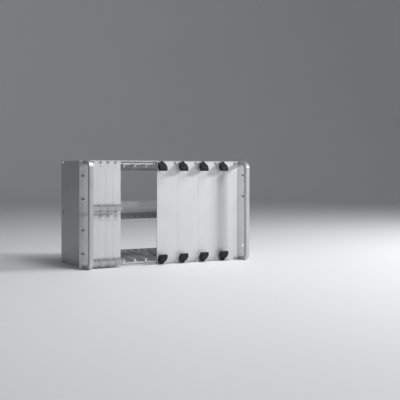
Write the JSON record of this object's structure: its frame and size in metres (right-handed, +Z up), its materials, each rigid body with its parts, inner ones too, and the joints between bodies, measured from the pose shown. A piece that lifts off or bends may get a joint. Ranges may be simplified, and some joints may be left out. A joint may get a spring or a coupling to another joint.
{
  "type": "subrack card cage",
  "caption": "Rack-mount subrack card cage: flanged side plates with bow handles, slotted rails, card guides, blank front panels with pull grips and extractor levers, and an open bay.",
  "frame": {"origin": "centre of the footprint at the cage's lowest faces, halfway between the handle fronts and the cage rear", "axes": "+X to the right seen from the front, +Y to the rear, +Z up"},
  "size_m": [0.4826, 0.2114, 0.2659],
  "materials": {
    "anodised_aluminium": "clear anodised, satin",
    "handle_aluminium": "natural anodised, satin",
    "rail_aluminium": "extruded and clear anodised",
    "panel_aluminium": "fine matt clear anodised",
    "grey_plastic": "moulded, fine texture",
    "black_plastic": "moulded, fine texture",
    "zinc_steel": "bright zinc plated"
  },
  "bodies": {
    "frame": {"side_plate_left": "anodised_aluminium", "side_plate_right": "anodised_aluminium", "mounting_flange_left": "anodised_aluminium", "mounting_flange_right": "anodised_aluminium", "divider_plate": "anodised_aluminium", "front_handle_left": "handle_aluminium", "front_handle_right": "handle_aluminium", "front_rail_top": "rail_aluminium", "front_rail_bottom": "rail_aluminium", "front_rail_mid": "rail_aluminium", "rear_rail_top": "rail_aluminium", "rear_rail_bottom": "rail_aluminium", "rear_rail_mid": "rail_aluminium", "threaded_strip_top": "zinc_steel", "threaded_strip_bottom": "zinc_steel", "threaded_strips_mid": "zinc_steel", "lever_pins": "zinc_steel", "panel_3u_upper_1": "panel_aluminium", "pull_handle_upper_1": "grey_plastic", "panel_3u_upper_2": "panel_aluminium", "pull_handle_upper_2": "grey_plastic", "panel_3u_upper_3": "panel_aluminium", "pull_handle_upper_3": "grey_plastic", "panel_3u_upper_4": "panel_aluminium", "pull_handle_upper_4": "grey_plastic", "panel_3u_lower_1": "panel_aluminium", "pull_handle_lower_1": "grey_plastic", "panel_3u_lower_2": "panel_aluminium", "pull_handle_lower_2": "grey_plastic", "panel_3u_lower_3": "panel_aluminium", "pull_handle_lower_3": "grey_plastic", "panel_3u_lower_4": "panel_aluminium", "pull_handle_lower_4": "grey_plastic", "panel_6u_1": "panel_aluminium", "panel_6u_2": "panel_aluminium", "panel_6u_3": "panel_aluminium", "panel_6u_4": "panel_aluminium", "lever_bearings_top": "black_plastic", "lever_bearings_bottom": "black_plastic", "card_guides_6u": "grey_plastic", "card_guides_3u_upper": "grey_plastic", "card_guides_3u_lower": "grey_plastic", "panel_screws": "zinc_steel", "rail_screws": "zinc_steel", "flange_screws": "zinc_steel", "handle_screws": "zinc_steel", "divider_screws": "zinc_steel", "pull_handle_screws": "zinc_steel", "bearing_screws": "zinc_steel"},
    "lever_top_1_body": {"lever_top_1": "black_plastic"},
    "lever_top_2_body": {"lever_top_2": "black_plastic"},
    "lever_top_3_body": {"lever_top_3": "black_plastic"},
    "lever_top_4_body": {"lever_top_4": "black_plastic"},
    "lever_bottom_1_body": {"lever_bottom_1": "black_plastic"},
    "lever_bottom_2_body": {"lever_bottom_2": "black_plastic"},
    "lever_bottom_3_body": {"lever_bottom_3": "black_plastic"},
    "lever_bottom_4_body": {"lever_bottom_4": "black_plastic"}
  },
  "joints": [
    {"name": "lever_top_1_swing", "type": "hinge", "parent": "frame", "child": "lever_top_1_body", "pos_m": [-0.01913, -0.07325, 0.2586], "axis": [-1, 0, 0], "range_deg": [0, 45]},
    {"name": "lever_top_2_swing", "type": "hinge", "parent": "frame", "child": "lever_top_2_body", "pos_m": [0.04183, -0.07325, 0.2586], "axis": [-1, 0, 0], "range_deg": [0, 45]},
    {"name": "lever_top_3_swing", "type": "hinge", "parent": "frame", "child": "lever_top_3_body", "pos_m": [0.10279, -0.07325, 0.2586], "axis": [-1, 0, 0], "range_deg": [0, 45]},
    {"name": "lever_top_4_swing", "type": "hinge", "parent": "frame", "child": "lever_top_4_body", "pos_m": [0.16375, -0.07325, 0.2586], "axis": [-1, 0, 0], "range_deg": [0, 45]},
    {"name": "lever_bottom_1_swing", "type": "hinge", "parent": "frame", "child": "lever_bottom_1_body", "pos_m": [-0.01913, -0.07325, 0.0073], "axis": [1, 0, 0], "range_deg": [0, 45]},
    {"name": "lever_bottom_2_swing", "type": "hinge", "parent": "frame", "child": "lever_bottom_2_body", "pos_m": [0.04183, -0.07325, 0.0073], "axis": [1, 0, 0], "range_deg": [0, 45]},
    {"name": "lever_bottom_3_swing", "type": "hinge", "parent": "frame", "child": "lever_bottom_3_body", "pos_m": [0.10279, -0.07325, 0.0073], "axis": [1, 0, 0], "range_deg": [0, 45]},
    {"name": "lever_bottom_4_swing", "type": "hinge", "parent": "frame", "child": "lever_bottom_4_body", "pos_m": [0.16375, -0.07325, 0.0073], "axis": [1, 0, 0], "range_deg": [0, 45]}
  ]
}
